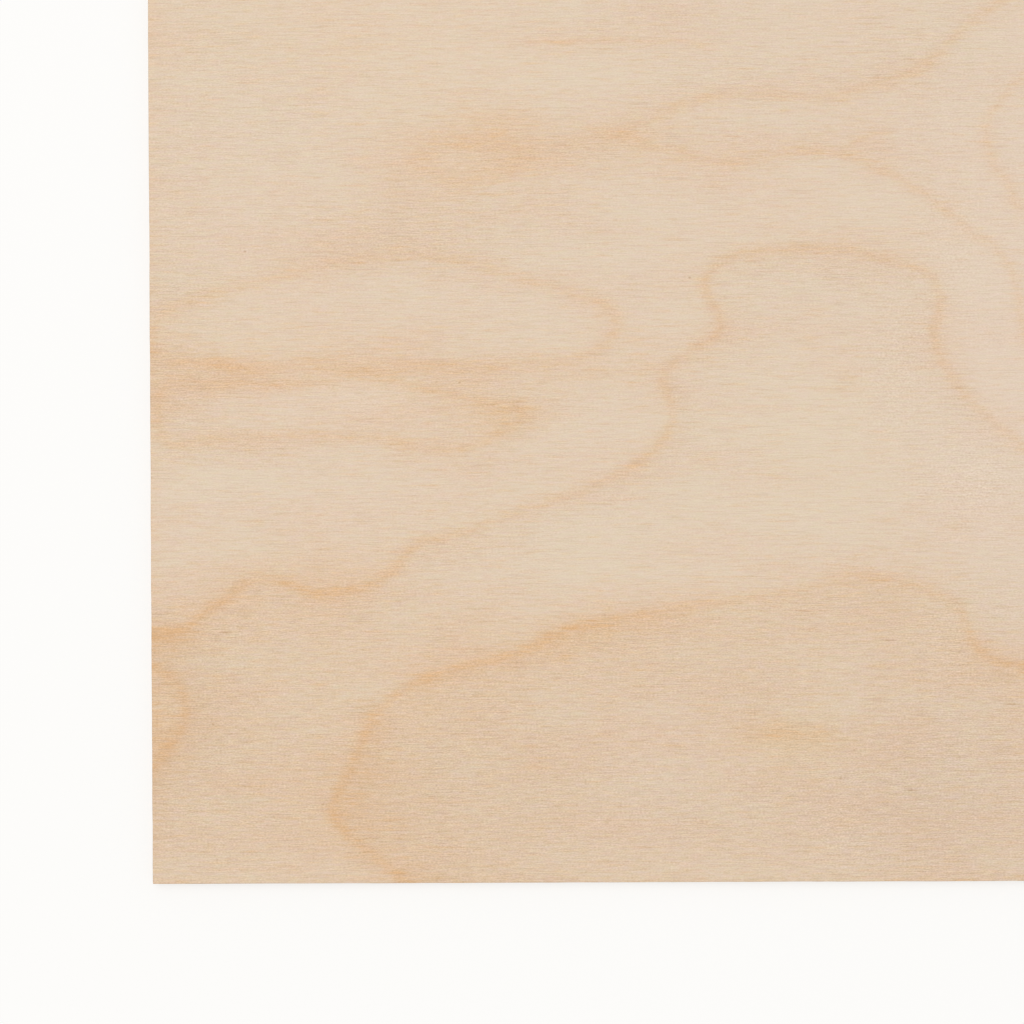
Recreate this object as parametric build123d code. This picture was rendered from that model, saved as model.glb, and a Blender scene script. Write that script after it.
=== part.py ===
from build123d import *
import os

# Plywood sheet: a craft-size panel of thin birch plywood, three plies bonded crosswise into one piece.
# X runs along the grain of the two outer plies, Y across it, and Z up through the thickness.
# The origin is at the middle of the underside, which is the face that the sheet lies on.

# Trimmed size of the sheet, in millimetres
sheet_length = 300.0  # along the face grain
sheet_width = 300.0  # across the face grain

# Thickness of each ply as sanded, from the underside up
back_ply = 0.8
core_ply = 1.4  # grain across the sheet
face_ply = 0.8

# Radius that sanding leaves on every arris of the trimmed panel
arris_radius = 0.15


def trimmed_panel():
    """The panel as trimmed square and sanded, with all its arrises eased."""
    outline = Rectangle(sheet_length, sheet_width)
    thickness = back_ply + core_ply + face_ply
    slab = extrude(outline, thickness)
    return fillet(slab.edges(), arris_radius)


def split_at_glue_lines(panel):
    """The back, core and face plies of the panel, parted where the glue lines run."""
    lower_glue_line = Plane.XY.offset(back_ply)
    upper_glue_line = Plane.XY.offset(back_ply + core_ply)
    back = split(panel, bisect_by=lower_glue_line, keep=Keep.BOTTOM)
    above_back = split(panel, bisect_by=lower_glue_line, keep=Keep.TOP)
    core = split(above_back, bisect_by=upper_glue_line, keep=Keep.BOTTOM)
    face = split(above_back, bisect_by=upper_glue_line, keep=Keep.TOP)
    return back, core, face


def bond(back, core, face):
    """One solid of the three plies: the glued faces drop out, and the glue lines stay on the edges."""
    skin = back.faces().sort_by(Axis.Z)[:-1]
    skin += core.faces().sort_by(Axis.Z)[1:-1]
    skin += face.faces().sort_by(Axis.Z)[1:]
    return Solid(Shell(skin))


panel = trimmed_panel()
sheet = bond(*split_at_glue_lines(panel))
sheet.label = "plywood_sheet"

os.makedirs("parts", exist_ok=True)
export_step(sheet, "parts/plywood_sheet.step")
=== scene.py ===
import math
import bmesh
import bpy
import numpy as np
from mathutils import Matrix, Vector, noise


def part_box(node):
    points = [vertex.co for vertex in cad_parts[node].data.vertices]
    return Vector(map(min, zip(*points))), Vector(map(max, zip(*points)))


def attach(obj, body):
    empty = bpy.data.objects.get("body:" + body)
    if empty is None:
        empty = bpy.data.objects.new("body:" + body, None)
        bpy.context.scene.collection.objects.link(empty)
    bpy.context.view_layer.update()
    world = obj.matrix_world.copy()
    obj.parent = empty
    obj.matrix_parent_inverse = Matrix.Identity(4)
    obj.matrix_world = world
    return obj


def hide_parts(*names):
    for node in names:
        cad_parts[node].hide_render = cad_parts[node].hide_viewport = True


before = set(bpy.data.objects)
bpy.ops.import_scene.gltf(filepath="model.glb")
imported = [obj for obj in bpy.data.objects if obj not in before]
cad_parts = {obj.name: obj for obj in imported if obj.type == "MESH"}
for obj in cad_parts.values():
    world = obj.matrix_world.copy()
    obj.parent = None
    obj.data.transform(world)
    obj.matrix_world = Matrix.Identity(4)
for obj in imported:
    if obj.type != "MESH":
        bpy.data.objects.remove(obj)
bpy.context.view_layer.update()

# The sheet of plywood
# Three birch veneers, peeled from the log on a lathe and glued crosswise under heat into one thin panel.
# It was sawn square to size and sanded, so its faces are flat and its arrises are only just eased.

MM = 0.001
sheet_low, sheet_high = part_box("plywood_sheet")
sheet_size = sheet_high - sheet_low
sheet_middle = (sheet_high + sheet_low) / 2
BACK_PLY = 0.8 * MM
CORE_PLY = 1.4 * MM
GLUE_LINE = 0.08 * MM
ARRIS = 0.15 * MM
ARRIS_FACETS = 2
FACE_CELLS = 200  # 1.5 mm each, about as wide as a growth line

sheet_bm = bmesh.new()
bmesh.ops.create_cube(sheet_bm, size=1.0)
bmesh.ops.scale(sheet_bm, vec=sheet_size, verts=sheet_bm.verts)
bmesh.ops.translate(sheet_bm, vec=sheet_middle, verts=sheet_bm.verts)
bmesh.ops.bevel(sheet_bm, geom=sheet_bm.edges[:], offset=ARRIS, affect="EDGES", segments=ARRIS_FACETS,
                profile=0.5, material=-1)

# The sides are cut above and below each glue line, and along the middle of each ply
lower_glue = sheet_low.z + BACK_PLY
upper_glue = lower_glue + CORE_PLY
glue_edges = [glue + side * GLUE_LINE / 2 for glue in (lower_glue, upper_glue) for side in (-1, 1)]
ply_middles = [sheet_low.z + BACK_PLY / 2, (lower_glue + upper_glue) / 2, (upper_glue + sheet_high.z) / 2]
for level in glue_edges + ply_middles:
    whole_sheet = sheet_bm.verts[:] + sheet_bm.edges[:] + sheet_bm.faces[:]
    bmesh.ops.bisect_plane(sheet_bm, geom=whole_sheet, plane_co=(0, 0, level), plane_no=(0, 0, 1))

# Dividing every long edge alike fills both faces with a grid and the sides with strips
long_edges = [edge for edge in sheet_bm.edges if edge.calc_length() > sheet_size.x / 2]
bmesh.ops.subdivide_edges(sheet_bm, edges=long_edges, cuts=FACE_CELLS - 1, use_grid_fill=True)

# The saw leaves the sides a little wavy and torn, and the core and the glue lie a little further back
SAW_WANDER = 0.05 * MM
SAW_WANDER_LENGTH = 9.0 * MM
SAW_TEAR = 0.05 * MM
SAW_TEAR_LENGTH = 1.6 * MM
CORE_SETBACK = 0.03 * MM
GLUE_SETBACK = 0.03 * MM


def saw_setback(place):
    """How far the sawn side lies behind the nominal one at a place on it."""
    along_side = Vector((place.x, place.y, 0.0))
    wander = noise.noise(along_side / SAW_WANDER_LENGTH) * SAW_WANDER
    tear = abs(noise.noise(place / SAW_TEAR_LENGTH)) * SAW_TEAR
    in_core = lower_glue < place.z < upper_glue
    in_glue = min(abs(place.z - lower_glue), abs(place.z - upper_glue)) < GLUE_LINE
    return SAW_WANDER / 2 + wander + tear + in_core * CORE_SETBACK + in_glue * GLUE_SETBACK


for vert in sheet_bm.verts:
    offset = vert.co - sheet_middle
    on_end = sheet_size.x / 2 - abs(offset.x) <= ARRIS
    on_side = sheet_size.y / 2 - abs(offset.y) <= ARRIS
    if on_end or on_side:
        setback = saw_setback(vert.co)
        vert.co.x -= math.copysign(setback, offset.x) * on_end
        vert.co.y -= math.copysign(setback, offset.y) * on_side

# The growth figure of the two faces
# A lathe cuts almost along the annual rings, so the thin brown late wood of a ring meets the face in one long
# wandering line. The wood darkens slowly towards that line from one side, and starts pale again on the other.

# A line's points are x, y and its strength there. Its halo is an amount of warmth and how far it reaches. Its
# tail is an amount of shade, one of warmth and their reach, on the darker side, which is the left of its way.
# Lengths are in millimetres, places from the sheet's lower left corner. Lines of one layer lie well apart,
# because a layer keeps only the nearest one at each place.
LINE_WIDTH = 1.12
LINE_HALO = (0.34, 2.6)
NO_TAIL = (0.0, 0.0, 4.0)
FACE_LINES = {
    "upper branch": {
        "layer": 0, "tail": (0.04, 0.02, 12.0),
        "points": [
            (92, 149.5, 0.0), (96, 150.6, 0.2), (99.7, 152.3, 0.3), (103, 154, 0.4), (106.5, 155.4, 0.5),
            (111.5, 156.7, 0.6), (118, 157.4, 0.55), (129.5, 157, 0.45), (135, 156.5, 0.5), (144, 159, 0.5),
            (151, 161, 0.55), (157, 164.5, 0.6), (162, 169.5, 0.55), (166.5, 173, 0.5), (170.5, 176, 0.5),
            (178, 183, 0.5), (188, 192, 0.5), (200, 198, 0.5), (215, 201, 0.5), (232, 200, 0.5),
            (250, 204, 0.5), (270, 212, 0.5), (300, 218, 0.5), (310, 220, 0.5),
        ],
    },
    "lower branch": {
        "layer": 1, "tail": (0.03, 0.0, 8.0),
        "points": [
            (86, 150.3, 0.0), (92, 150, 0.25), (96, 149, 0.35), (100, 147.4, 0.4), (104.5, 146.6, 0.45),
            (108.5, 145.4, 0.45), (112, 144.3, 0.45), (117, 143.8, 0.5), (121.2, 144.6, 0.5),
            (129.6, 146.2, 0.5), (136, 146, 0.5), (142, 144, 0.5), (150, 140.5, 0.5), (158, 135, 0.5),
            (164, 130, 0.5), (170, 125.5, 0.5), (173, 120, 0.5), (174.5, 112, 0.5), (178, 103, 0.5),
            (185, 96, 0.5), (197, 90, 0.5), (212, 88, 0.5), (230, 91, 0.5), (248, 93, 0.5), (264, 90, 0.5),
            (280, 84, 0.5), (300, 80, 0.5), (310, 78, 0.5),
        ],
    },
    "head": {
        "layer": 0, "halo": (0.38, 2.6), "tail": (0.08, 0.03, 7.0),
        "points": [
            (310, 58, 0.5), (300, 60, 0.5), (282, 67, 0.5), (266, 72, 0.5), (250, 73, 0.5), (234, 70, 0.5),
            (218, 69, 0.5), (203, 72, 0.5), (190, 77, 0.5), (181, 82, 0.5), (174.5, 86.8, 0.5),
            (169, 91.5, 0.5), (163.2, 97.3, 0.5), (159, 103, 0.55), (156.8, 109, 0.6), (158.1, 114.8, 0.6),
            (157.4, 119, 0.6), (155, 122, 0.5), (150.8, 123.6, 0.5), (140, 126.3, 0.5), (131, 126.6, 0.55),
            (122.5, 126.2, 0.55), (116.7, 124.9, 0.6), (112.9, 122.8, 0.6), (111.1, 120.5, 0.6),
            (111.4, 117.3, 0.6), (113.8, 114, 0.6), (114, 110.4, 0.55), (110.7, 107.5, 0.5),
            (105.7, 104.5, 0.5), (102.6, 101.3, 0.5), (103.6, 97.5, 0.55), (104.7, 93.3, 0.6),
            (103.1, 89.1, 0.6), (99, 85, 0.6), (94.7, 82.1, 0.55), (86, 78.5, 0.45), (77, 75.3, 0.45),
            (69.9, 72.9, 0.45), (64.9, 71, 0.55), (59.5, 69.5, 0.6), (53, 67.9, 0.6), (50.6, 65.3, 0.6),
            (47.9, 62.2, 0.6), (43.3, 59.5, 0.65), (37.9, 58.4, 0.75), (33.2, 58.2, 0.8), (27.9, 60, 0.7),
            (22.5, 61.2, 0.6), (18.7, 60, 0.7), (14.8, 56.9, 0.75), (10.9, 54.3, 0.75), (7.1, 51.6, 0.8),
            (4, 50.4, 0.9), (0.5, 50, 1.0), (-8, 49, 1.0),
        ],
    },
    "upper tongue": {
        "layer": 1, "width": 1.3, "tail": (0.04, 0.02, 5.0),
        "points": [
            (0.2, 108, 0.3), (0.6, 111, 0.4), (3.5, 114.6, 0.5), (10, 117.6, 0.55), (20, 120, 0.45),
            (30, 122.5, 0.4), (40, 124.5, 0.4), (50, 126, 0.4), (60, 125, 0.4), (70, 122.5, 0.4),
            (78, 120, 0.4), (86, 117.5, 0.45), (91, 115.5, 0.5), (93.5, 112.5, 0.5), (92, 108.7, 0.5),
            (88, 106, 0.45), (81.7, 104.3, 0.45), (70.5, 103.8, 0.45), (60, 103.3, 0.42), (50, 103.1, 0.4),
            (44, 102.6, 0.55), (38, 103.3, 0.35), (31.3, 104.2, 0.35), (24, 103.1, 0.35),
            (17.2, 103.4, 0.65), (12, 104.2, 0.6), (7, 105, 0.35), (2, 105.8, 0.35), (-8, 107, 0.35),
        ],
    },
    "lower tongue": {
        "layer": 2, "closed": True, "width": 1.1, "halo": (0.38, 2.6), "tail": (0.04, 0.03, 4.0),
        "points": [
            (3.5, 100.2, 0.4), (12, 99.8, 0.35), (17, 100.3, 0.35), (25, 99.8, 0.3), (33, 100.3, 0.35),
            (40, 101.5, 0.35), (47, 100.8, 0.45), (53, 99.5, 0.45), (61.2, 97.6, 0.5), (66.2, 96.2, 0.6),
            (72, 94.9, 0.55), (76.5, 94.2, 0.3), (73.5, 92, 0.35), (69, 89.6, 0.5), (65, 87.8, 0.5),
            (61, 86.9, 0.5), (56, 87.1, 0.5), (51.2, 87.9, 0.55), (46.2, 89.2, 0.5), (37, 89.6, 0.45),
            (31.2, 90.1, 0.45), (24.6, 89.6, 0.45), (16.2, 89.3, 0.45), (10.4, 88.6, 0.45), (4.6, 88, 0.5),
            (2, 91, 0.45), (1.5, 96, 0.45),
        ],
    },
    "tongue to head": {
        "layer": 2, "width": 0.8, "halo": (0.5, 2.6),
        "points": [
            (74, 99.5, 0.0), (82, 101, 0.3), (92, 101.5, 0.3), (100, 102.5, 0.25), (104, 104, 0.0),
        ],
    },
    "short streak": {
        "layer": 2, "width": 0.5,
        "points": [
            (132, 98.3, 0.0), (137, 98.5, 0.35), (140, 98.7, 0.45), (146, 98.8, 0.0),
        ],
    },
    "top streak": {
        "layer": 1, "width": 0.5, "halo": (0.2, 2.6),
        "points": [
            (72, 168, 0.0), (80, 168.2, 0.5), (90, 168.4, 0.55), (104, 168.2, 0.4), (114, 168, 0.0),
        ],
    },
    "far top streak": {
        "layer": 1, "width": 0.5, "halo": (0.2, 2.6),
        "points": [
            (34, 167.3, 0.0), (38, 167.3, 0.4), (44, 167.2, 0.4), (48, 167.2, 0.0),
        ],
    },
    "twig": {
        "layer": 2, "width": 0.6,
        "points": [
            (138, 145.8, 0.0), (140.5, 147.3, 0.35), (143.5, 148.9, 0.45), (147.5, 149.6, 0.35),
            (150, 149.8, 0.0),
        ],
    },
    "heart": {
        "layer": 1, "width": 1.2, "halo": (0.42, 4.5), "tail": (0.088, 0.20, 160.0),
        "points": [
            (272, -10, 0.6), (273, 0, 0.6), (274, 14, 0.6), (272, 26, 0.6), (266, 37, 0.6), (256, 46, 0.6),
            (242, 52, 0.6), (226, 53, 0.6), (210, 50, 0.6), (196, 45, 0.7), (184, 43, 0.75),
            (174.5, 43, 0.85), (171, 43.6, 0.85), (166.5, 45.5, 0.8), (163.5, 50, 0.75), (161.5, 55, 0.6),
            (157.5, 57.5, 0.5), (149.5, 60, 0.5), (142, 61, 0.45), (136, 60, 0.4), (127.5, 58, 0.45),
            (112.4, 55.7, 0.55), (103.7, 54.5, 0.6), (97.6, 53.4, 0.65), (90.6, 52.3, 0.7),
            (85.4, 51.3, 0.8), (78.4, 48.5, 0.75), (71.5, 45.6, 0.7), (64.5, 43.8, 0.65),
            (58.4, 42.2, 0.65), (53.2, 40.3, 0.65), (47.9, 36.9, 0.65), (43.7, 32.5, 0.65), (42, 28, 0.65),
            (39.2, 22.1, 0.7), (36.3, 15.5, 0.75), (38.2, 10.8, 0.75), (43.4, 6.4, 0.7), (50.3, 0.7, 0.65),
            (58, -6, 0.65),
        ],
    },
    "edge eye": {
        "layer": 2, "width": 1.1, "halo": (0.6, 2.6), "tail": (0.2, 0.04, 6.0),
        "points": [
            (-7.5, 45.5, 0.65), (0.4, 43.4, 0.65), (5, 40.4, 0.55), (6.8, 36, 0.55), (6.4, 31.8, 0.62),
            (4, 28.2, 0.65), (1, 24.3, 0.65), (-5.5, 18.5, 0.65),
        ],
    },
    "right eye": {
        "layer": 2, "closed": True, "tail": (0.03, 0.0, 7.0),
        "points": [
            (175.1, 160.9, 0.4), (171.3, 157, 0.5), (168.2, 153.2, 0.5), (167.5, 149.3, 0.5),
            (168.1, 145.5, 0.5), (169.2, 142.4, 0.5), (171.9, 139.3, 0.5), (174.2, 134.7, 0.5),
            (186, 130, 0.5), (200, 129, 0.5), (216, 132, 0.5), (230, 138, 0.5), (240, 146, 0.5),
            (242, 154, 0.5), (233, 163, 0.5), (216, 168, 0.5), (198, 168, 0.45), (184, 165, 0.4),
        ],
    },
    "small eye": {
        "layer": 2, "closed": True, "width": 1.5, "halo": (0.36, 3.5),
        "points": [
            (77, 145.5, 0.2), (71.2, 142.4, 0.35), (63, 140.6, 0.4), (56.5, 141.6, 0.3), (53, 144, 0.2),
            (57, 147, 0.2), (64, 148, 0.3), (71, 147.6, 0.3),
        ],
    },
    "high wave": {
        "layer": 1, "tail": (0.06, 0.02, 9.0),
        "points": [
            (-8, 204, 0.5), (0, 205, 0.5), (20, 209, 0.5), (45, 216, 0.5), (70, 219, 0.5), (95, 215, 0.5),
            (112, 208, 0.6), (124, 204.5, 0.6), (140, 206, 0.5), (158, 212, 0.5), (178, 217, 0.5),
            (198, 225, 0.5), (220, 230, 0.5), (240, 229, 0.5), (258, 231, 0.5), (276, 238, 0.5),
            (300, 250, 0.5), (308, 254, 0.5),
        ],
    },
    "corner wave": {
        "layer": 0, "width": 1.1, "tail": (0.05, 0.04, 12.0),
        "points": [
            (-8, 249.5, 0.7), (0, 248, 0.7), (20, 244.5, 0.6), (42, 246, 0.6), (62, 252, 0.6),
            (80, 261, 0.6), (94, 272, 0.6), (102, 284, 0.7), (104, 296, 0.7), (103, 308, 0.7),
        ],
    },
    "corner eye": {
        "layer": 1, "closed": True, "width": 1.1, "tail": (0.1, 0.08, 14.0),
        "points": [
            (20, 272, 0.7), (34, 266.5, 0.7), (50, 268, 0.7), (63, 274, 0.7), (68, 282, 0.7),
            (60, 289, 0.7), (44, 291, 0.6), (28, 287, 0.6),
        ],
    },
    "top wave": {
        "layer": 2, "tail": (0.06, 0.03, 10.0),
        "points": [
            (131, 308, 0.6), (132, 300, 0.6), (136, 286, 0.6), (146, 274, 0.6), (162, 265, 0.6),
            (182, 260, 0.5), (204, 258, 0.5), (224, 262, 0.5), (240, 270, 0.6), (258, 274, 0.6),
            (278, 276, 0.5), (300, 282, 0.5), (309, 285, 0.5),
        ],
    },
    "heart eye": {
        "layer": 2, "closed": True, "width": 1.1, "tail": (0.06, 0.06, 12.0),
        "points": [
            (196, 16, 0.7), (206, 9, 0.7), (222, 5, 0.7), (239, 6, 0.7), (250, 12, 0.7), (253, 21, 0.7),
            (246, 29, 0.8), (231, 33, 0.8), (215, 31.5, 0.8), (203, 26, 0.7),
        ],
    },
}
BACK_LINES = {
    "outer flame": {
        "layer": 0, "tail": (0.06, 0.03, 14.0),
        "points": [
            (-9, 202, 0.5), (20, 203, 0.5), (48, 198, 0.5), (80, 199, 0.5), (112, 193, 0.45),
            (142, 192, 0.5), (172, 184, 0.5), (196, 182, 0.5), (222, 172, 0.5), (240, 163, 0.55),
            (251, 150, 0.6), (262, 138, 0.6), (258, 124, 0.65), (249, 112, 0.6), (236, 96, 0.6),
            (214, 86, 0.5), (190, 74, 0.5), (158, 69, 0.45), (120, 58, 0.5), (84, 57, 0.5), (50, 49, 0.5),
            (18, 47, 0.5), (-9, 43, 0.5),
        ],
    },
    "middle flame": {
        "layer": 1, "tail": (0.06, 0.04, 12.0),
        "points": [
            (-9, 175, 0.5), (24, 174, 0.45), (52, 168, 0.5), (82, 168, 0.5), (112, 162, 0.5),
            (140, 163, 0.55), (168, 157, 0.6), (190, 155, 0.6), (208, 147, 0.7), (219, 141, 0.7),
            (222, 131, 0.75), (214, 122, 0.7), (204, 116, 0.7), (184, 109, 0.65), (160, 99, 0.6),
            (132, 95, 0.5), (100, 84, 0.5), (70, 83, 0.45), (40, 76, 0.5), (14, 75, 0.5), (-9, 71, 0.5),
        ],
    },
    "inner flame": {
        "layer": 2, "width": 1.1, "tail": (0.09, 0.06, 30.0),
        "points": [
            (-9, 151, 0.6), (22, 151, 0.55), (50, 147, 0.6), (80, 148, 0.6), (106, 144, 0.6),
            (128, 144, 0.65), (146, 139, 0.7), (156, 135, 0.8), (158, 128, 0.85), (150, 122, 0.8),
            (136, 118, 0.7), (114, 115, 0.65), (90, 107, 0.6), (64, 106, 0.55), (40, 100, 0.6),
            (16, 100, 0.6), (-9, 97, 0.6),
        ],
    },
    "flame eye": {
        "layer": 0, "closed": True, "width": 1.3, "halo": (0.36, 3.0),
        "points": [
            (32, 125, 0.3), (42, 129, 0.45), (56, 130, 0.4), (70, 133, 0.45), (83, 130, 0.5),
            (90, 126, 0.6), (82, 122, 0.5), (68, 121, 0.45), (54, 119, 0.4), (40, 121, 0.35),
        ],
    },
    "low wave": {
        "layer": 1, "tail": (0.05, 0.02, 12.0),
        "points": [
            (129, -9, 0.5), (136, 2, 0.6), (149, 12, 0.6), (166, 19, 0.6), (184, 26, 0.55), (202, 26, 0.5),
            (222, 33, 0.5), (240, 35, 0.5), (256, 41, 0.5), (274, 42, 0.5), (292, 38, 0.5), (309, 38, 0.5),
        ],
    },
    "high wave": {
        "layer": 2, "tail": (0.05, 0.02, 12.0),
        "points": [
            (-9, 235, 0.5), (22, 233, 0.5), (50, 228, 0.5), (82, 227, 0.5), (110, 221, 0.5),
            (142, 221, 0.5), (170, 217, 0.5), (198, 221, 0.55), (225, 221, 0.5), (246, 229, 0.55),
            (265, 232, 0.6), (288, 237, 0.6), (309, 236, 0.6),
        ],
    },
    "top wave": {
        "layer": 0, "tail": (0.06, 0.02, 12.0),
        "points": [
            (-9, 270, 0.5), (28, 268, 0.5), (60, 262, 0.5), (96, 262, 0.5), (130, 255, 0.5),
            (166, 259, 0.5), (200, 261, 0.5), (228, 269, 0.55), (250, 275, 0.6), (266, 288, 0.6),
            (276, 309, 0.6),
        ],
    },
    "side eye": {
        "layer": 1, "width": 1.1, "halo": (0.4, 2.6), "tail": (0.1, 0.06, 8.0),
        "points": [
            (309, 278, 0.6), (296, 279, 0.6), (284, 275, 0.6), (280, 268, 0.65), (285, 262, 0.6),
            (296, 259, 0.6), (309, 262, 0.6),
        ],
    },
}

# Soft patches of the figure: the middle, the half-size at which a patch has faded to about a third, and the
# tones that it adds. Shade darkens, warmth turns the wood towards late wood, and paleness lightens it. Blush
# makes it pinker or, below 0, yellower. The last tone is a painted sheen: it mottles the colour lighter and
# darker where the wood would shimmer in the light.
FACE_PATCHES = [
    {"at": (40, 172), "half_size": (70, 14), "warmth": 0.07},
    {"at": (42, 162), "half_size": (36, 14), "blush": -0.15},
    {"at": (26, 153), "half_size": (14, 12), "shade": 0.055},
    {"at": (16, 171), "half_size": (13, 9), "shade": 0.04, "warmth": 0.04},
    {"at": (90, 133), "half_size": (14, 6), "shade": 0.02, "warmth": 0.03},
    {"at": (120, 159), "half_size": (14, 6), "shade": 0.03},
    {"at": (101, 173), "half_size": (28, 4), "shade": 0.05},
    {"at": (4, 148), "half_size": (12, 34), "shade": 0.06, "warmth": 0.04},
    {"at": (63, 146), "half_size": (26, 12), "shade": 0.02, "warmth": 0.13},
    {"at": (66, 147.5), "half_size": (14, 6.5), "shade": 0.01, "warmth": 0.12},
    {"at": (70, 152.7), "half_size": (8, 1.8), "warmth": 0.2},
    {"at": (61.3, 145), "half_size": (6, 1.6), "paleness": 0.12},
    {"at": (100, 147), "half_size": (30, 6), "shade": 0.02, "warmth": 0.09},
    {"at": (86, 147), "half_size": (9, 4), "shade": 0.03, "warmth": 0.07},
    {"at": (95, 149.8), "half_size": (8, 2.8), "shade": 0.01, "warmth": 0.14},
    {"at": (139, 147), "half_size": (36, 10), "blush": 0.18},
    {"at": (134, 149.4), "half_size": (5, 0.8), "warmth": 0.12},
    {"at": (157, 150), "half_size": (14, 20), "painted_sheen": 0.5},
    {"at": (52, 130), "half_size": (26, 9), "shade": 0.08, "warmth": 0.13, "blush": 0.12},
    {"at": (5, 120), "half_size": (10, 4), "shade": 0.04},
    {"at": (3, 108), "half_size": (10, 20), "shade": 0.04, "warmth": 0.08},
    {"at": (36, 109), "half_size": (48, 5), "warmth": 0.09},
    {"at": (22, 103), "half_size": (30, 4), "warmth": 0.12},
    {"at": (37, 105.6), "half_size": (9, 0.9), "warmth": 0.14},
    {"at": (24, 100.9), "half_size": (8, 0.9), "warmth": 0.14},
    {"at": (64, 102), "half_size": (8, 1.2), "warmth": 0.1, "blush": 0.3},
    {"at": (34, 98), "half_size": (34, 7), "warmth": 0.035, "blush": 0.2},
    {"at": (59, 97), "half_size": (22, 8), "shade": 0.02, "warmth": 0.13},
    {"at": (43, 97.5), "half_size": (9, 3.5), "paleness": 0.2},
    {"at": (72, 93.2), "half_size": (8, 3.4), "shade": 0.03, "warmth": 0.24, "blush": -0.3},
    {"at": (6, 95), "half_size": (8, 9), "shade": 0.06, "warmth": 0.13},
    {"at": (19, 87), "half_size": (10, 4), "shade": 0.05, "warmth": 0.05},
    {"at": (61, 79), "half_size": (16, 9), "warmth": 0.04},
    {"at": (32, 63), "half_size": (20, 6), "warmth": 0.07},
    {"at": (4, 49), "half_size": (8, 3.5), "shade": 0.04, "warmth": 0.26},
    {"at": (0, 34), "half_size": (6, 8), "warmth": 0.28},
    {"at": (34, 52), "half_size": (34, 14), "warmth": 0.1},
    {"at": (62, 51), "half_size": (10, 5), "shade": 0.04, "warmth": 0.12},
    {"at": (23, 25), "half_size": (32, 34), "shade": 0.1, "warmth": 0.215, "blush": -0.05},
    {"at": (5, 12), "half_size": (16, 24), "shade": 0.05, "warmth": 0.08},
    {"at": (60, 19), "half_size": (18, 18), "shade": 0.03, "warmth": 0.03},
    {"at": (80, 20), "half_size": (12, 12), "shade": 0.05, "warmth": 0.05},
    {"at": (84, 49.5), "half_size": (10, 3.5), "shade": 0.03, "warmth": 0.18, "blush": -0.2},
    {"at": (102, 43), "half_size": (10, 9), "shade": 0.02, "warmth": 0.06},
    {"at": (102, 27), "half_size": (14, 16), "warmth": -0.04, "blush": 0.2},
    {"at": (52, 33), "half_size": (6, 5), "paleness": 0.1},
    {"at": (120, 37), "half_size": (8, 8), "shade": 0.05},
    {"at": (125.5, 29.2), "half_size": (8, 2.6), "warmth": 0.25, "blush": -1.0},
    {"at": (134, 28.4), "half_size": (6, 2.4), "warmth": 0.14, "blush": -0.6},
    {"at": (130, 28), "half_size": (10, 9), "warmth": 0.06, "blush": -0.3},
    {"at": (120, 14), "half_size": (40, 9), "shade": 0.06},
    {"at": (156, 17), "half_size": (20, 18), "shade": 0.12, "warmth": 0.01, "blush": 0.35},
    {"at": (164, 36), "half_size": (10, 10), "warmth": -0.04},
    {"at": (170, 53), "half_size": (8, 8), "shade": 0.08, "warmth": 0.04},
    {"at": (160, 60), "half_size": (14, 9), "shade": 0.025},
    {"at": (85, 65), "half_size": (24, 8), "blush": -0.14},
    {"at": (127, 84), "half_size": (24, 14), "blush": -0.25},
    {"at": (134, 120), "half_size": (14, 6), "shade": 0.03, "painted_sheen": 0.3},
    {"at": (118, 110), "half_size": (18, 14), "warmth": 0.03},
    {"at": (160, 164), "half_size": (16, 11), "shade": 0.05},
    {"at": (172, 112), "half_size": (14, 60), "warmth": -0.04, "paleness": 0.13, "blush": 0.3},
    {"at": (161, 125), "half_size": (9, 14), "paleness": 0.03, "painted_sheen": 0.75},
    {"at": (149, 102), "half_size": (8, 15), "paleness": 0.03, "painted_sheen": 1.1},
    {"at": (164, 80), "half_size": (11, 10), "shade": 0.02, "paleness": 0.09, "painted_sheen": 1.1},
    {"at": (138, 11), "half_size": (6, 11), "paleness": 0.04, "painted_sheen": 1.1},
    {"at": (160, 49), "half_size": (5, 8), "paleness": 0.08, "painted_sheen": 1.1},
]
BACK_PATCHES = [
    {"at": (60, 126), "half_size": (44, 9), "shade": 0.05, "warmth": 0.1, "blush": -0.1},
    {"at": (150, 130), "half_size": (14, 10), "shade": 0.05, "warmth": 0.12},
    {"at": (20, 215), "half_size": (30, 16), "shade": 0.05, "warmth": 0.03},
    {"at": (250, 200), "half_size": (40, 14), "paleness": 0.08, "blush": 0.15},
    {"at": (230, 250), "half_size": (50, 10), "warmth": 0.08},
    {"at": (280, 110), "half_size": (20, 60), "paleness": 0.08, "blush": 0.2},
    {"at": (190, 60), "half_size": (60, 10), "shade": 0.05},
    {"at": (40, 20), "half_size": (40, 12), "shade": 0.05, "warmth": 0.04, "blush": -0.15},
    {"at": (227, 132), "half_size": (8, 14), "painted_sheen": 0.9},
]

STEPS_BETWEEN_POINTS = 6
LAYERS = 3
FAR_OFF = 1000.0  # the gap where a layer has no line
LINE_CLEAR = 6.0  # millimetres from a line at which its layer begins to let go of it, wholly at twice that
TAIL_START = 1.2  # millimetres over which the tail sets in
FULL_TAIL = 0.5  # the strength from which a line has its full tail
HALO_ROUNDING = 0.5  # of the halo's reach, so that the halo has no crest
ARRIS_WARMTH = 0.12  # sanding burnishes the arris
ARRIS_REACH = 1.5
EVEN_TONES = {"shade": 0.01, "warmth": 0.045, "paleness": 0.01, "blush": 0.0, "painted_sheen": 0.0}


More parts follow.
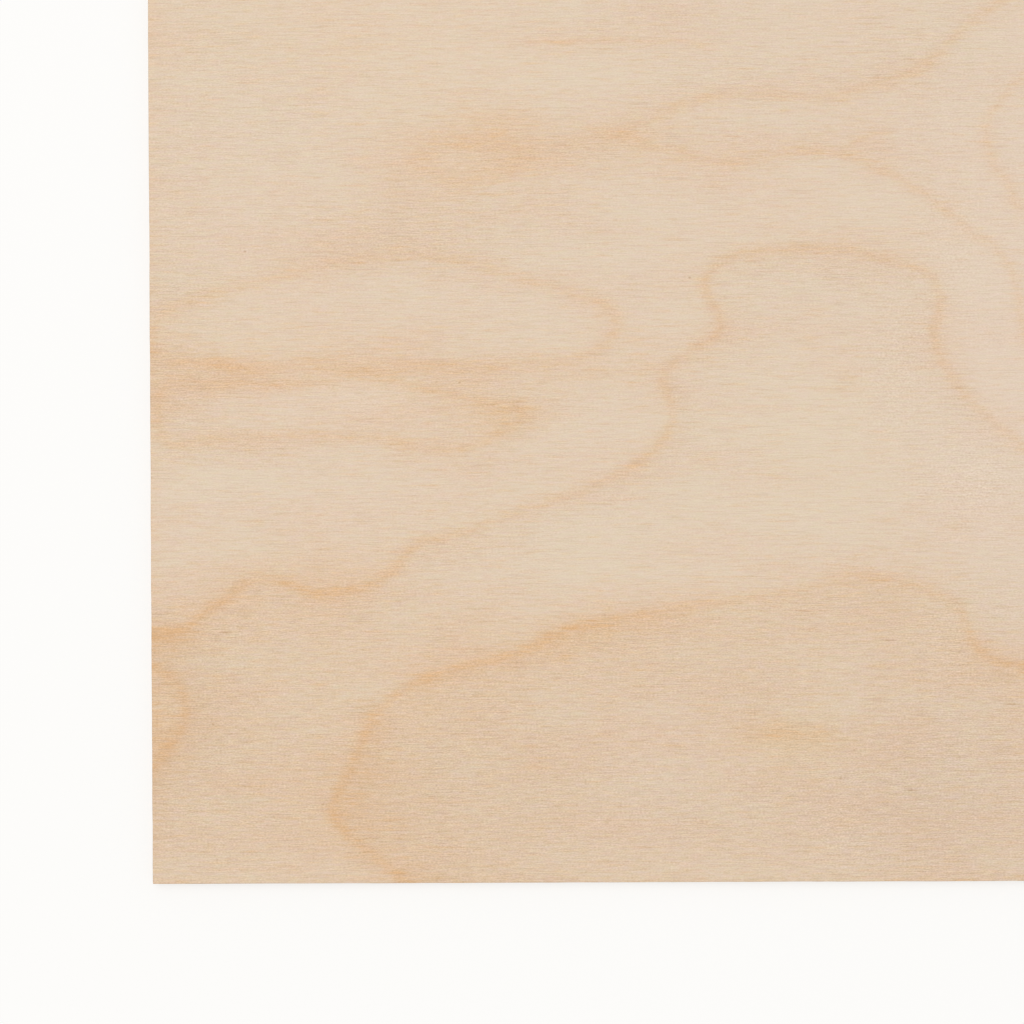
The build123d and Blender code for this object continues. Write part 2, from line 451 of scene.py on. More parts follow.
def smooth_line(points, closed):
    """A smooth curve through the points of a line, as rows of x, y and strength (Catmull-Rom)."""
    points = np.array(points, float)
    if closed:
        points = np.vstack([points[-1:], points, points[:2]])
    else:
        points = np.vstack([2 * points[0] - points[1], points, 2 * points[-1] - points[-2]])
    before, start, end, after = points[:-3], points[1:-2], points[2:-1], points[3:]
    steps = []
    for t in np.arange(STEPS_BETWEEN_POINTS) / STEPS_BETWEEN_POINTS:
        steps.append(0.5 * (2 * start + (end - before) * t
                            + (2 * before - 5 * start + 4 * end - after) * t ** 2
                            + (3 * start - before - 3 * end + after) * t ** 3))
    return np.vstack([np.stack(steps, 1).reshape(-1, 3), points[-2:-1]])


def measure_from(line, places):
    """The gap from each place to the line, above zero on the line's left, how fast the gap grows along X, and
    the strength of the line at its nearest point."""
    start, run = line[:-1], np.diff(line, axis=0)
    length = np.hypot(run[:, 0], run[:, 1])
    away_x = places[:, :1] - start[:, 0]
    away_y = places[:, 1:] - start[:, 1]
    share = np.clip((away_x * run[:, 0] + away_y * run[:, 1]) / length ** 2, 0, 1)
    gap = np.hypot(away_x - share * run[:, 0], away_y - share * run[:, 1])
    nearest = gap.argmin(1)
    row = np.arange(len(places))
    left = run[nearest, 0] * away_y[row, nearest] > run[nearest, 1] * away_x[row, nearest]
    strength = start[nearest, 2] + share[row, nearest] * run[nearest, 2]
    return gap[row, nearest] * np.where(left, 1, -1), -run[nearest, 1] / length[nearest], strength


def draw_figure(places, lines, patches):
    """The figure at places on one face: each layer's gap and slope in line widths and its force, and the
    tones."""
    rings = np.zeros((LAYERS, len(places), 3))
    rings[:, :, 0] = FAR_OFF
    tones = {tone: np.full(len(places), amount) for tone, amount in EVEN_TONES.items()}
    for line in lines.values():
        gap, slope, strength = measure_from(smooth_line(line["points"], line.get("closed")), places)
        force = strength * np.clip(2 - np.abs(gap) / LINE_CLEAR, 0, 1)
        ring = rings[line["layer"]]
        width = line.get("width", LINE_WIDTH)
        nearer = np.abs(gap) < np.abs(ring[:, 0]) * width
        ring[nearer] = np.stack([gap / width, slope / width, force], 1)[nearer]
        shade, warmth, reach = line.get("tail", NO_TAIL)
        tail = np.clip(strength / FULL_TAIL, 0, 1) * np.exp(-np.maximum(gap, 0) / reach)
        tail = tail / (1 + np.exp(-gap / TAIL_START))
        halo, halo_reach = line.get("halo", LINE_HALO)
        halo = halo * strength * np.exp(-np.hypot(gap, halo_reach * HALO_ROUNDING) / halo_reach)
        tones["shade"] += shade * tail
        tones["warmth"] += warmth * tail + halo
    for patch in patches:
        away = (places - patch["at"]) / patch["half_size"]
        fade = np.exp(-away[:, 0] ** 2 - away[:, 1] ** 2)
        for tone in tones:
            tones[tone] += patch.get(tone, 0.0) * fade
    from_edge = np.minimum(places, sheet_size.x / MM - places).min(1)
    tones["warmth"] += ARRIS_WARMTH * np.exp(-from_edge / ARRIS_REACH)
    return rings, tones


# What looks up or down shows the veneer, and the rest shows sawn wood
FACE_FINISH, END_FINISH, SIDE_FINISH = range(3)
UP_ENOUGH = 0.7  # a facet of the arris that looks up more than this belongs to the face
for face in sheet_bm.faces:
    if abs(face.normal.z) > UP_ENOUGH:
        face.material_index = FACE_FINISH
    elif abs(face.normal.x) > abs(face.normal.y):
        face.material_index = END_FINISH
    else:
        face.material_index = SIDE_FINISH
    face.smooth = abs(face.normal.z) < 1

# The sheet unwrapped: good face at the upper left, back at the right, the sides in strips along the bottom
FACE_MAP = (0.0, 0.15, 0.70, 0.85)
BACK_MAP = (0.71, 0.0, 0.29, 1.0)
STRIP_HEIGHT = 0.034
STRIP_PITCH = 0.037
uv_map = sheet_bm.loops.layers.uv.new("OFBake")
for face in sheet_bm.faces:
    for loop in face.loops:
        share = Vector(((loop.vert.co[axis] - sheet_low[axis]) / sheet_size[axis] for axis in range(3)))
        if face.material_index == FACE_FINISH:
            left, bottom, width, height = FACE_MAP if face.normal.z > 0 else BACK_MAP
            loop[uv_map].uv = (left + width * share.x, bottom + height * share.y)
        elif face.material_index == END_FINISH:
            strip = 0 if face.normal.x > 0 else 1
            loop[uv_map].uv = (FACE_MAP[2] * share.y, strip * STRIP_PITCH + STRIP_HEIGHT * share.z)
        else:
            strip = 2 if face.normal.y > 0 else 3
            loop[uv_map].uv = (FACE_MAP[2] * share.x, strip * STRIP_PITCH + STRIP_HEIGHT * share.z)

# The figure goes onto the mesh as attributes, which the veneer's material reads
sheet_mesh = bpy.data.meshes.new("sheet")
sheet_bm.to_mesh(sheet_mesh)
sheet_bm.free()
places = np.array([vert.co for vert in sheet_mesh.vertices])
on_face = places[:, 2] > sheet_middle.z
plan = (places[:, :2] - np.array(sheet_low[:2])) / MM
rings = np.zeros((LAYERS, len(plan), 3))
tones = {}
for side, lines, patches in ((on_face, FACE_LINES, FACE_PATCHES), (~on_face, BACK_LINES, BACK_PATCHES)):
    side_rings, side_tones = draw_figure(plan[side], lines, patches)
    rings[:, side] = side_rings
    for tone, values in side_tones.items():
        tones.setdefault(tone, np.zeros(len(plan)))[side] = values
for layer in range(LAYERS):
    ring = sheet_mesh.attributes.new(f"ring_{layer}", "FLOAT_VECTOR", "POINT")
    ring.data.foreach_set("vector", rings[layer].astype(np.float32).ravel())
for tone, values in tones.items():
    attribute = sheet_mesh.attributes.new(tone, "FLOAT", "POINT")
    attribute.data.foreach_set("value", values.astype(np.float32))


def linear(hex_colour):
    """The linear colour, with alpha, of an sRGB hex colour."""
    shares = [int(hex_colour[place:place + 2], 16) / 255 for place in (1, 3, 5)]
    curve = [share / 12.92 if share <= 0.04045 else ((share + 0.055) / 1.055) ** 2.4 for share in shares]
    return curve + [1.0]


def add_node(material, kind, inputs=None, output=None, **settings):
    """Adds a node with its settings, fills or links its inputs by name or place, and gives back an output."""
    node = material.node_tree.nodes.new("ShaderNode" + kind)
    for name, value in settings.items():
        setattr(node, name, value)
    in_use = [socket for socket in node.inputs if socket.enabled]
    for key, value in (inputs or {}).items():
        socket = in_use[key] if isinstance(key, int) else next(s for s in in_use if s.name == key)
        if isinstance(value, bpy.types.NodeSocket):
            material.node_tree.links.new(value, socket)
        else:
            socket.default_value = value
    return next((s for s in node.outputs if s.enabled and output in (None, s.name)), None)


# Rotary-cut birch veneer, sanded and bare: matt, pale cream wood with fine fibres along X, scattered open
# vessels that show as short darker dashes, and a faint shimmer where the grain dips in and out of the face,
# which is a painted sheen: mottled light and dark painted into the colour.
EARLY_WOOD = linear("#E4D2B6")
BLUSHED_WOOD = linear("#E5CDBA")
LATE_WOOD = linear("#E0B07A")
SHADED_WOOD = linear("#C4A78B")
PALE_WOOD = linear("#F0DFCA")
VEINS = linear("#AE8350")

birch = bpy.data.materials.new("birch_veneer_sanded")
birch.use_nodes = True
birch.node_tree.nodes.clear()
spot = add_node(birch, "TexCoord", output="Object")

# The fibres run a little out of true, so every pattern along the grain follows one slow bend
BEND_SIZE = (45 * MM, 20 * MM, 10 * MM)
BEND_SHIFT = 0.5 * MM
bend_cell = add_node(birch, "Mapping", {"Vector": spot, "Scale": [1 / size for size in BEND_SIZE]})
bend = add_node(birch, "TexNoise", {"Vector": bend_cell, "Scale": 1.0, "Detail": 1.0}, "Fac")
sideways = add_node(birch, "MapRange", {0: bend, 1: 0.0, 2: 1.0, 3: -BEND_SHIFT, 4: BEND_SHIFT})
sideways = add_node(birch, "CombineXYZ", {"Y": sideways})
grain_spot = add_node(birch, "VectorMath", {0: spot, 1: sideways}, operation="ADD")

# Each strand of the grain: its length and height in millimetres, its detail, and a shift that sets it apart
# from the others. It swings about 0. Birch fibres are about 0.02 mm wide and its vessels about 0.08 mm, too
# fine to show here, so the finest strands are drawn as coarse as bundles of them.
THROUGH_SCALE = 700  # cells of a strand to a metre of thickness, so that the back differs from the good face
STRANDS = {
    "fuzz": (0.44, 0.2, 1.0, 11.0),
    "fibre": (2.6, 0.2, 1.0, 23.0),
    "vessel": (8.0, 0.22, 1.0, 31.0),
    "streak": (7.0, 0.62, 1.0, 37.0),
    "stripe": (24.0, 1.6, 1.0, 51.0),
    "cloud": (26.0, 9.0, 2.0, 67.0),
    "smear": (3.0, 0.34, 1.0, 83.0),
    "dash": (1.7, 0.42, 1.0, 91.0),
    "wander": (3.4, 2.2, 1.0, 97.0),
    # the mottling of the painted sheen
    "sheen_mottle": (0.5, 0.36, 1.0, 113.0),
    "tint": (3.0, 0.45, 2.0, 127.0),
}
strand = {}
for name, (length, height, detail, shift) in STRANDS.items():
    cell = add_node(birch, "Mapping", {"Vector": grain_spot, "Location": (shift, shift, shift),
                                       "Scale": (1 / (length * MM), 1 / (height * MM), THROUGH_SCALE)})
    value = add_node(birch, "TexNoise", {"Vector": cell, "Scale": 1.0, "Detail": detail}, "Fac")
    strand[name] = add_node(birch, "Math", {0: value, 1: 0.5}, operation="SUBTRACT")

# The growth lines: a bell-shaped band of late wood about each one, frayed where it crosses the fibres
LINE_DEPTH = 0.34
FRAY = 1.4  # millimetres over which the fibres carry a line to and fro along the grain
WANDER = 1.0  # line widths over which a line wavers
late = 0.0
for layer in range(LAYERS):
    ring = add_node(birch, "Attribute", output="Vector", attribute_name=f"ring_{layer}")
    ring = add_node(birch, "SeparateXYZ", {0: ring}).node
    frayed = add_node(birch, "Math", {0: strand["smear"], 1: FRAY}, operation="MULTIPLY")
    frayed = add_node(birch, "Math", {0: frayed, 1: ring.outputs["Y"], 2: ring.outputs["X"]},
                      operation="MULTIPLY_ADD")
    gap = add_node(birch, "Math", {0: strand["wander"], 1: WANDER, 2: frayed}, operation="MULTIPLY_ADD")
    gap = add_node(birch, "Math", {0: gap, 1: gap}, operation="MULTIPLY")
    bell = add_node(birch, "Math", {0: gap, 1: -1.0}, operation="MULTIPLY")
    bell = add_node(birch, "Math", {0: bell}, operation="EXPONENT")
    late = add_node(birch, "Math", {0: bell, 1: ring.outputs["Z"], 2: late}, operation="MULTIPLY_ADD")
late = add_node(birch, "Math", {0: late, 1: LINE_DEPTH}, operation="MULTIPLY")

# The tones drawn on the mesh, each broken up by the strands: first in proportion to it, then everywhere alike
TONE_STRANDS = {
    "warmth": ({"dash": 0.4, "streak": 0.4, "stripe": 0.25, "cloud": 0.4},
               {"dash": 0.34, "streak": 0.3, "stripe": 0.16, "cloud": 0.33}),
    "shade": ({"streak": 0.4, "stripe": 0.3}, {"stripe": 0.04, "cloud": 0.06}),
    "paleness": ({"streak": 0.5, "stripe": 0.7}, {"cloud": 0.08}),
}
tone_of = {"warmth": late, "shade": 0.0, "paleness": 0.0}
for tone, (in_proportion, everywhere) in TONE_STRANDS.items():
    drawn = add_node(birch, "Attribute", output="Fac", attribute_name=tone)
    total = add_node(birch, "Math", {0: drawn, 1: tone_of[tone]}, operation="ADD")
    uneven = 1.0
    for name, share in in_proportion.items():
        uneven = add_node(birch, "Math", {0: strand[name], 1: share, 2: uneven}, operation="MULTIPLY_ADD")
    uneven = add_node(birch, "Math", {0: uneven, 1: 0.0}, operation="MAXIMUM")
    total = add_node(birch, "Math", {0: total, 1: uneven}, operation="MULTIPLY")
    for name, share in everywhere.items():
        total = add_node(birch, "Math", {0: strand[name], 1: share, 2: total}, operation="MULTIPLY_ADD")
    tone_of[tone] = add_node(birch, "Math", {0: total, 1: 0.0}, operation="MAXIMUM")

# Here and there a bundle of fibres is stained a warmer brown
STAIN_START = 0.1
STAIN_FULL = 0.3
STAIN_DEPTH = 0.18
stain = add_node(birch, "MapRange", {
    0: strand["streak"], 1: STAIN_START, 2: STAIN_FULL, 3: 0.0, 4: STAIN_DEPTH})
tone_of["warmth"] = add_node(birch, "Math", {0: tone_of["warmth"], 1: stain}, operation="ADD")

# The wood drifts between a yellower and a pinker cream, the more so where it is brown
BLUSH_STRANDS = {"tint": 2.75, "stripe": 0.55, "cloud": 0.8}
BLUSH_DEPTH = 0.6
EVEN_BLUSH = 0.5
PALE_DRIFT = 0.6
BROWN_DRIFT = 1.4
SHADE_AS_BROWN = 5.0  # times as much as warmth, in how brown the wood counts as
brown = add_node(birch, "Math", {0: tone_of["shade"], 1: SHADE_AS_BROWN, 2: tone_of["warmth"]},
                 operation="MULTIPLY_ADD")
drift = 0.0
for name, share in BLUSH_STRANDS.items():
    drift = add_node(birch, "Math", {0: strand[name], 1: share, 2: drift}, operation="MULTIPLY_ADD")
drift_depth = add_node(birch, "MapRange", {0: brown, 1: 0.0, 2: 1.0, 3: PALE_DRIFT, 4: BROWN_DRIFT})
drift = add_node(birch, "Math", {0: drift, 1: drift_depth, 2: EVEN_BLUSH}, operation="MULTIPLY_ADD")

# In brown wood the warmer strokes are golden
GOLD_DEPTH = 1.0
golden = add_node(birch, "Math", {0: strand["dash"], 1: strand["streak"]}, operation="ADD")
golden = add_node(birch, "Math", {0: golden, 1: brown}, operation="MULTIPLY")
drift = add_node(birch, "Math", {0: golden, 1: -GOLD_DEPTH, 2: drift}, operation="MULTIPLY_ADD")

# The early wood between its two creams, with late wood, shade and paleness laid over it
blush = add_node(birch, "Attribute", output="Fac", attribute_name="blush")
blush = add_node(birch, "Math", {0: blush, 1: BLUSH_DEPTH, 2: drift}, operation="MULTIPLY_ADD")
wood = add_node(birch, "Mix", {"Factor": blush, "A": EARLY_WOOD, "B": BLUSHED_WOOD}, data_type="RGBA")
wood = add_node(birch, "Mix", {"Factor": tone_of["warmth"], "A": wood, "B": LATE_WOOD}, data_type="RGBA")
wood = add_node(birch, "Mix", {"Factor": tone_of["shade"], "A": wood, "B": SHADED_WOOD}, data_type="RGBA")
wood = add_node(birch, "Mix", {"Factor": tone_of["paleness"], "A": wood, "B": PALE_WOOD}, data_type="RGBA")

# Open vessels show as fine brown dashes along the grain
VESSEL_START = 0.06
VESSEL_FULL = 0.26
VESSEL_DEPTH = 0.16
opened = add_node(birch, "MapRange", {
    0: strand["vessel"], 1: VESSEL_START, 2: VESSEL_FULL, 3: 0.0, 4: VESSEL_DEPTH})
wood = add_node(birch, "Mix", {"Factor": opened, "A": wood, "B": VEINS}, data_type="RGBA")

# Small marks on the good face, specks and cut vessels, as x, y, half-length and half-height in millimetres,
# and depth of colour
MARK_CORE = 0.3  # of its half-size, within which a mark is at its darkest
MARK_RIM = 1.4
MARK_THICKNESS = 1.0  # millimetres, so that none shows through on the back
MARKS = [
    (108.1, 120.9, 0.3, 0.22, 0.5), (19.2, 126.6, 0.3, 0.2, 0.5), (62, 100.2, 0.3, 0.2, 0.5),
    (12.3, 32, 0.3, 0.25, 0.5), (34.2, 15.9, 0.35, 0.2, 0.5), (14.8, 50.4, 1.2, 0.18, 0.5),
    (152, 18.3, 1.2, 0.16, 0.5), (172.1, 35.4, 1.4, 0.18, 0.5), (147.6, 48.3, 1.2, 0.16, 0.4),
    (203, 118, 1.3, 0.18, 0.5), (244, 193, 0.3, 0.22, 0.5), (83, 232, 1.2, 0.18, 0.5),
    (226, 244, 0.35, 0.2, 0.5),
]
marked = 0.0
for x, y, half_length, half_height, depth in MARKS:
    half_size = Vector((half_length, half_height, MARK_THICKNESS)) * MM
    middle = Vector((sheet_low.x + x * MM, sheet_low.y + y * MM, sheet_high.z))
    scale = Vector((1 / half_size.x, 1 / half_size.y, 1 / half_size.z))
    from_middle = add_node(birch, "Mapping", {"Vector": spot, "Location": -middle * scale, "Scale": scale})
    from_middle = add_node(birch, "VectorMath", {0: from_middle}, "Value", operation="LENGTH")
    mark = add_node(birch, "MapRange", {0: from_middle, 1: MARK_RIM, 2: MARK_CORE, 3: 0.0, 4: depth})
    marked = add_node(birch, "Math", {0: mark, 1: marked}, operation="MAXIMUM")
wood = add_node(birch, "Mix", {"Factor": marked, "A": wood, "B": VEINS}, data_type="RGBA")

# Light and dark of the fine grain, whose dark side is the browner one, and which is stronger in browner wood
LIGHTNESS = {"fuzz": 0.43, "fibre": 0.28, "vessel": -0.1, "streak": 0.04, "stripe": 0.04}
BROWNING = (0.85, 1.0, 1.25)  # how much it counts in red, green and blue
PALE_CONTRAST = 0.5
BROWN_CONTRAST = 1.5
PAINTED_SHEEN_DEPTH = 0.36
lightness = 0.0
for name, share in LIGHTNESS.items():
    lightness = add_node(birch, "Math", {0: strand[name], 1: share, 2: lightness}, operation="MULTIPLY_ADD")
contrast = add_node(birch, "MapRange", {0: brown, 1: 0.0, 2: 1.0, 3: PALE_CONTRAST, 4: BROWN_CONTRAST})
lightness = add_node(birch, "Math", {0: lightness, 1: contrast}, operation="MULTIPLY")
# Painted sheen: the wood's shimmer in the light is painted into the colour as mottled light and dark
painted_sheen = add_node(birch, "Attribute", output="Fac", attribute_name="painted_sheen")
painted_sheen = add_node(birch, "Math", {0: painted_sheen, 1: strand["sheen_mottle"]}, operation="MULTIPLY")
lightness = add_node(birch, "Math", {0: painted_sheen, 1: PAINTED_SHEEN_DEPTH, 2: lightness}, operation="MULTIPLY_ADD")
lightness = add_node(birch, "VectorMath", {0: lightness, 1: BROWNING, 2: (1, 1, 1)}, operation="MULTIPLY_ADD")
wood = add_node(birch, "VectorMath", {0: wood, 1: lightness}, operation="MULTIPLY")

# Late wood is denser and sands smoother than early wood, and the fibres and open vessels stay as faint relief
EARLY_ROUGHNESS = 0.68
LATE_ROUGHNESS = 0.5
GRAIN_RELIEF = 0.03 * MM
GRAIN_SHARPNESS = 0.3
roughness = add_node(birch, "MapRange", {
    0: tone_of["warmth"], 1: 0.0, 2: 1.0, 3: EARLY_ROUGHNESS, 4: LATE_ROUGHNESS})
relief = add_node(birch, "Math", {0: strand["fibre"], 1: strand["fuzz"]}, operation="ADD")
relief = add_node(birch, "Math", {0: opened, 1: -1.0, 2: relief}, operation="MULTIPLY_ADD")
bump = add_node(birch, "Bump", {"Height": relief, "Strength": GRAIN_SHARPNESS, "Distance": GRAIN_RELIEF})
birch_surface = add_node(birch, "BsdfPrincipled", {
    "Base Color": wood, "Roughness": roughness, "Normal": bump})
add_node(birch, "OutputMaterial", {"Surface": birch_surface})
sheet_mesh.materials.append(birch)

# Sawn edge of birch plywood: a ply cut along its fibres is pale and streaky, and one cut across them is
# browner and shows its pores and the checks, the slanting cracks that the lathe knife left. The glue between
# is a thin dark line, and the whole side is matt and scored by the blade.
ALONG_FIBRES = linear("#DCBE98")
ALONG_STREAK = linear("#C7A176")
ACROSS_FIBRES = linear("#B98F61")
PORES = linear("#80592F")
CURED_GLUE = linear("#6B472A")
STREAK_LENGTH = 5.0 * MM
STREAK_HEIGHT = 0.12 * MM
STREAK_START = 0.35
STREAK_FULL = 0.65
PORE_PITCH = 0.14 * MM  # birch pores lie about 0.1 mm apart, drawn a little coarser so that they show
PORE_CORE = 0.15  # of the pitch, within which a pore is at its darkest
PORE_RIM = 0.45
PORE_DEPTH = 0.5
CHECK_PITCH = 0.9 * MM  # between checks, on average
CHECK_SLANT = 0.8  # how far a check leans, as a share of its height
CHECK_WIDTH = 0.03 * MM
CHECK_DEPTH = 0.55
CHECK_START = 0.42  # a check shows only where its raggedness is above this
CHECK_FULL = 0.58
RAGGED_SIZE = 0.5 * MM
RAGGED_SHIFT = 0.3 * MM
BLOTCH_SIZE = 4 * MM
BLOTCH_LOW = 0.2
BLOTCH_HIGH = 0.8
DARK_BLOTCH = 0.88
LIGHT_BLOTCH = 1.1
GLUE_DEPTH = 1.5
SCORE_PITCH = 0.5 * MM
PORE_RELIEF = 0.5  # as a share of the scores'
SAW_RELIEF = 0.08 * MM
SAW_SHARPNESS = 0.6
SAWN_ROUGHNESS = 0.8
for name, core_is_cut_across in (("sawn_across_face_grain", False), ("sawn_along_face_grain", True)):
    sawn = bpy.data.materials.new(name)
    sawn.use_nodes = True
    sawn.node_tree.nodes.clear()
    spot = add_node(sawn, "TexCoord", output="Object")
    height = add_node(sawn, "SeparateXYZ", {0: spot}, "Z")
    from_middle = add_node(sawn, "Math", {0: height, 1: sheet_middle.z}, operation="SUBTRACT")
    from_middle = add_node(sawn, "Math", {0: from_middle}, operation="ABSOLUTE")
    compared = "LESS_THAN" if core_is_cut_across else "GREATER_THAN"
    cut_across = add_node(sawn, "Math", {0: from_middle, 1: CORE_PLY / 2}, operation=compared)
    from_glue = add_node(sawn, "Math", {0: from_middle, 1: CORE_PLY / 2}, operation="SUBTRACT")
    from_glue = add_node(sawn, "Math", {0: from_glue}, operation="ABSOLUTE")

    # The two grains
    streak_cell = add_node(sawn, "Mapping", {
        "Vector": spot, "Scale": (1 / STREAK_LENGTH, 1 / STREAK_LENGTH, 1 / STREAK_HEIGHT)})
    streaks = add_node(sawn, "TexNoise", {"Vector": streak_cell, "Scale": 1.0, "Detail": 2.0}, "Fac")
    streaks = add_node(sawn, "MapRange", {0: streaks, 1: STREAK_START, 2: STREAK_FULL, 3: 0.0, 4: 1.0})
    long_grain = add_node(sawn, "Mix", {"Factor": streaks, "A": ALONG_FIBRES, "B": ALONG_STREAK},
                          data_type="RGBA")
    pores = add_node(sawn, "TexVoronoi", {"Vector": spot, "Scale": 1 / PORE_PITCH}, "Distance")
    pores = add_node(sawn, "MapRange", {0: pores, 1: PORE_RIM, 2: PORE_CORE, 3: 0.0, 4: PORE_DEPTH})
    blotches = add_node(sawn, "TexNoise", {"Vector": spot, "Scale": 1 / BLOTCH_SIZE, "Detail": 2.0}, "Fac")
    along = add_node(sawn, "VectorMath", {0: spot, 1: (1, 1, CHECK_SLANT)}, "Value", operation="DOT_PRODUCT")
    ragged = add_node(sawn, "TexNoise", {"Vector": spot, "Scale": 1 / RAGGED_SIZE, "Detail": 1.0}, "Fac")
    along = add_node(sawn, "Math", {0: ragged, 1: RAGGED_SHIFT, 2: along}, operation="MULTIPLY_ADD")
    check_cell = add_node(sawn, "Math", {0: along, 1: 1 / CHECK_PITCH}, operation="MULTIPLY")
    checks = add_node(sawn, "TexVoronoi", {"W": check_cell, "Scale": 1.0}, "Distance",
                      voronoi_dimensions="1D", feature="DISTANCE_TO_EDGE")
    checks = add_node(sawn, "MapRange", {0: checks, 1: CHECK_WIDTH / CHECK_PITCH, 2: 0.0, 3: 0.0, 4: 1.0})
    shown = add_node(sawn, "MapRange", {0: ragged, 1: CHECK_START, 2: CHECK_FULL, 3: 0.0, 4: CHECK_DEPTH})
    checks = add_node(sawn, "Math", {0: checks, 1: shown}, operation="MULTIPLY")
    pores = add_node(sawn, "Math", {0: pores, 1: checks}, operation="MAXIMUM")
    end_grain = add_node(sawn, "Mix", {"Factor": pores, "A": ACROSS_FIBRES, "B": PORES}, data_type="RGBA")
    sawn_wood = add_node(sawn, "Mix", {"Factor": cut_across, "A": long_grain, "B": end_grain},
                         data_type="RGBA")

    # The glue lines, and a slow unevenness of the whole side
    glue = add_node(sawn, "MapRange", {0: from_glue, 1: GLUE_LINE, 2: GLUE_LINE / 4, 3: 0.0, 4: 1.0})
    glue = add_node(sawn, "Math", {0: glue, 1: blotches}, operation="MULTIPLY")
    glue = add_node(sawn, "Math", {0: glue, 1: GLUE_DEPTH}, operation="MULTIPLY", use_clamp=True)
    sawn_wood = add_node(sawn, "Mix", {"Factor": glue, "A": sawn_wood, "B": CURED_GLUE}, data_type="RGBA")
    tint = add_node(sawn, "MapRange", {
        0: blotches, 1: BLOTCH_LOW, 2: BLOTCH_HIGH, 3: DARK_BLOTCH, 4: LIGHT_BLOTCH})
    sawn_wood = add_node(sawn, "VectorMath", {0: sawn_wood, "Scale": tint}, operation="SCALE")

    # The relief: upright scores of the blade, and the open pores and checks
    score_cell = add_node(sawn, "Mapping", {
        "Vector": spot, "Scale": (1 / SCORE_PITCH, 1 / SCORE_PITCH, 1 / STREAK_LENGTH)})
    scores = add_node(sawn, "TexNoise", {"Vector": score_cell, "Scale": 1.0, "Detail": 2.0}, "Fac")
    relief = add_node(sawn, "Math", {0: pores, 1: cut_across}, operation="MULTIPLY")
    relief = add_node(sawn, "Math", {0: relief, 1: -PORE_RELIEF, 2: scores}, operation="MULTIPLY_ADD")
    bump = add_node(sawn, "Bump", {"Height": relief, "Strength": SAW_SHARPNESS, "Distance": SAW_RELIEF})
    sawn_surface = add_node(sawn, "BsdfPrincipled", {
        "Base Color": sawn_wood, "Roughness": SAWN_ROUGHNESS, "Normal": bump})
    add_node(sawn, "OutputMaterial", {"Surface": sawn_surface})
    sheet_mesh.materials.append(sawn)

sheet = bpy.data.objects.new("sheet", sheet_mesh)
bpy.context.scene.collection.objects.link(sheet)
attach(sheet, "root")
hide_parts("plywood_sheet")

# The floor
# A plain sweep of near-white paper under the sheet. It shows as the same near-white at any light, and keeps a
# share of the sheet's own soft shadow.
PAPER = linear("#FEFDFB")
FLOOR_SIZE = 6.0
FLOOR_DROP = 0.02 * MM  # just under the sheet, so that the two surfaces don't coincide
OWN_LIGHT = 0.7
SHADOW_REACH = 0.35  # metres from the sheet's middle, within which the floor keeps its full share of shadow
PAPER_CLEAR = 0.9  # and beyond which it keeps none

floor_bm = bmesh.new()
bmesh.ops.create_grid(floor_bm, x_segments=1, y_segments=1, size=FLOOR_SIZE / 2)
bmesh.ops.translate(floor_bm, vec=(0, 0, sheet_low.z - FLOOR_DROP), verts=floor_bm.verts)
floor_mesh = bpy.data.meshes.new("floor")
floor_bm.to_mesh(floor_mesh)
floor_bm.free()
paper = bpy.data.materials.new("white_paper_sweep")
paper.use_nodes = True
paper.node_tree.nodes.clear()
ray = add_node(paper, "LightPath").node
seen = add_node(paper, "Math", {0: ray.outputs["Is Camera Ray"], 1: ray.outputs["Is Glossy Ray"]},
                operation="MAXIMUM")
spot = add_node(paper, "TexCoord", output="Object")
away = add_node(paper, "VectorMath", {0: spot}, "Value", operation="LENGTH")
own_light = add_node(paper, "MapRange", {0: away, 1: SHADOW_REACH, 2: PAPER_CLEAR, 3: OWN_LIGHT, 4: 1.0})
seen = add_node(paper, "Math", {0: seen, 1: own_light}, operation="MULTIPLY")
matt = add_node(paper, "BsdfDiffuse", {"Color": PAPER})
bright = add_node(paper, "Emission", {"Color": PAPER, "Strength": 1.0})
paper_surface = add_node(paper, "MixShader", {0: seen, 1: matt, 2: bright})
add_node(paper, "OutputMaterial", {"Surface": paper_surface})
floor_mesh.materials.append(paper)
floor = bpy.data.objects.new("floor", floor_mesh)
bpy.context.scene.collection.objects.link(floor)

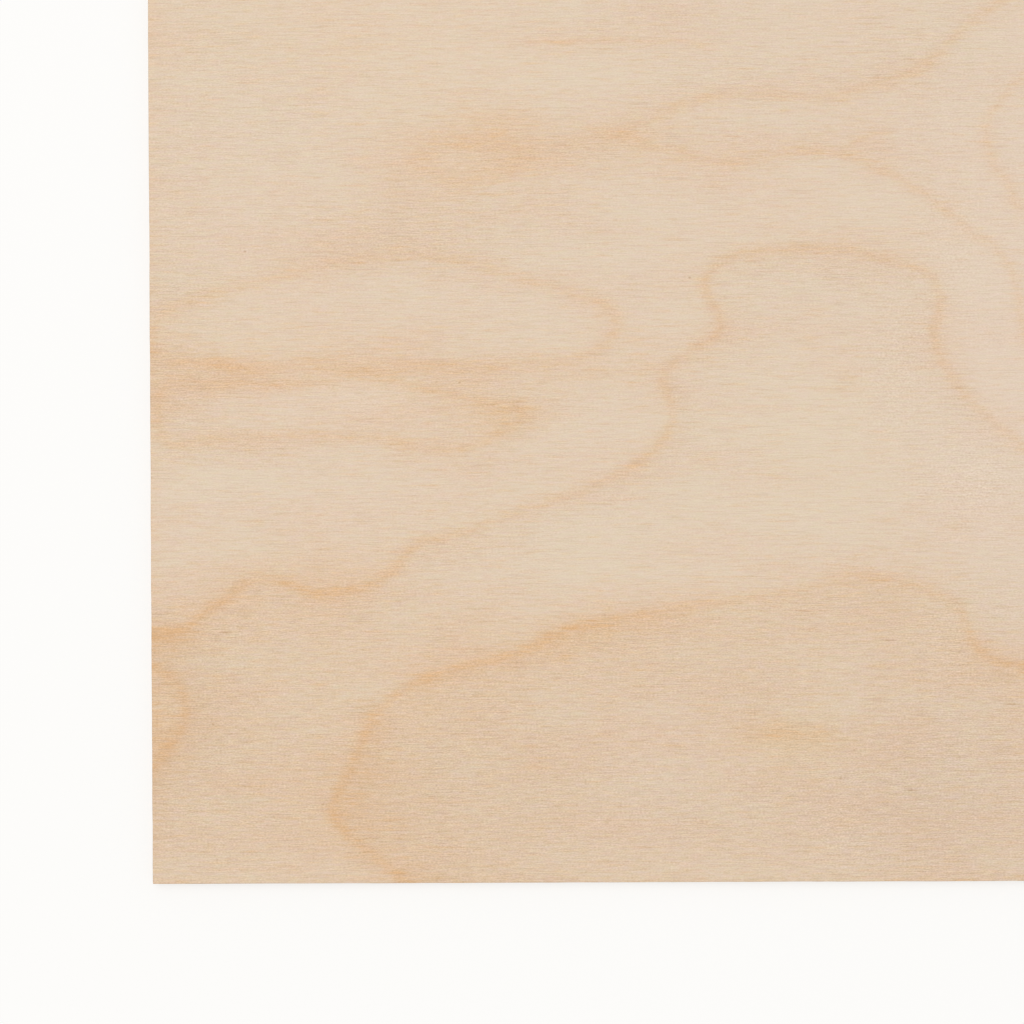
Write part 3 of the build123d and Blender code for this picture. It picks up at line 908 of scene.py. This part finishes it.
# The light
# A wide softbox high above and a little to the left, and an even white room all around it.
ROOM_LIGHT = 0.55
SOFTBOX_SIZE = 2.0
SOFTBOX_POWER = 38.5
SOFTBOX_PLACE = Vector((-0.7, 0.5, 2.6))

world = bpy.data.worlds.new("studio")
bpy.context.scene.world = world
world.use_nodes = True
world.node_tree.nodes.clear()
ray = add_node(world, "LightPath").node
seen = add_node(world, "Math", {0: ray.outputs["Is Camera Ray"], 1: ray.outputs["Is Transmission Ray"]},
                operation="MAXIMUM")
room = add_node(world, "Background", {"Color": (1, 1, 1, 1), "Strength": ROOM_LIGHT})
backdrop = add_node(world, "Background", {"Color": PAPER, "Strength": 1.0})
world_surface = add_node(world, "MixShader", {0: seen, 1: room, 2: backdrop})
add_node(world, "OutputWorld", {"Surface": world_surface})

softbox_light = bpy.data.lights.new("softbox", "AREA")
softbox_light.shape = "SQUARE"
softbox_light.size = SOFTBOX_SIZE
softbox_light.energy = SOFTBOX_POWER
softbox = bpy.data.objects.new("softbox", softbox_light)
softbox.location = SOFTBOX_PLACE
softbox.rotation_euler = (sheet_middle - SOFTBOX_PLACE).to_track_quat("-Z", "Y").to_euler()
softbox.visible_camera = False
bpy.context.scene.collection.objects.link(softbox)

# The camera
# It looks straight down on the sheet's lower left corner from about half a metre, a fraction of a degree out
# of plumb and out of square, as a hand-set copy stand leaves it.
CAMERA_PLACE = Vector((sheet_low.x + 76.064 * MM, sheet_low.y + 77.623 * MM, sheet_high.z + 512 * MM))
CAMERA_TURN = (-0.378, 0.412, -0.261)
LENS = 90  # millimetres, as is the sensor's width
SENSOR_WIDTH = 36
camera_data = bpy.data.cameras.new("copy_stand")
camera_data.lens = LENS
camera_data.sensor_width = SENSOR_WIDTH
camera = bpy.data.objects.new("copy_stand", camera_data)
camera.location = CAMERA_PLACE
camera.rotation_euler = [math.radians(turn) for turn in CAMERA_TURN]
bpy.context.scene.collection.objects.link(camera)
bpy.context.scene.camera = camera
bpy.context.scene.view_settings.view_transform = "Standard"
